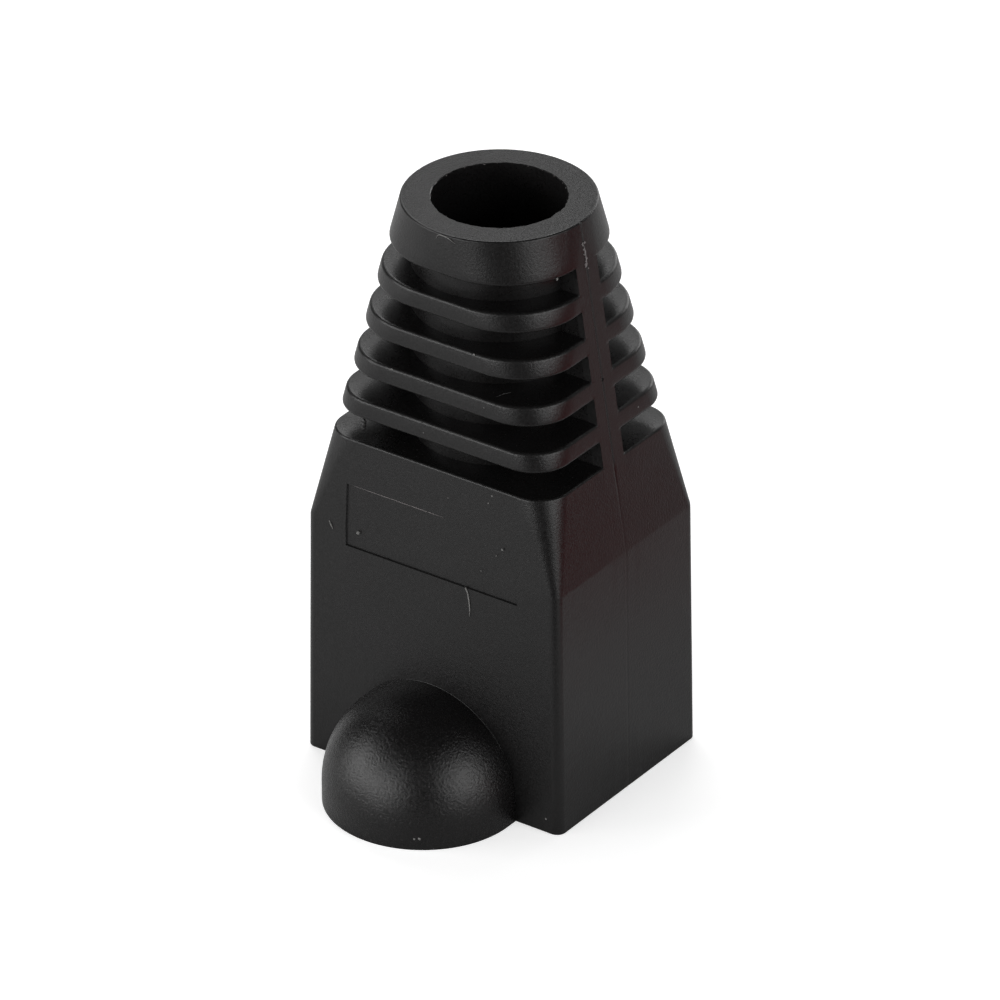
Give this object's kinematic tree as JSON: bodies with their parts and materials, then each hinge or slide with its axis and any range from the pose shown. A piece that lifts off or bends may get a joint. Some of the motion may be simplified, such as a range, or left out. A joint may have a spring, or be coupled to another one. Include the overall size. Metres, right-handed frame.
{
  "type": "rj45 strain relief boot",
  "caption": "Soft moulded boot that slips over a modular plug: an oblong socket with a domed latch shield, tapering into a ribbed flexible neck round the cable.",
  "frame": {"origin": "where the cable's axis meets the plane of the foot, at the mouth of the plug socket", "axes": "+Z along the cable's axis towards the round rim; -Y towards the latch shield; X across the plug"},
  "size_m": [0.0138, 0.0159, 0.0277],
  "materials": {
    "boot": "matt black, fine moulded grain"
  },
  "bodies": {
    "root": {"boot": "boot"}
  },
  "joints": []
}
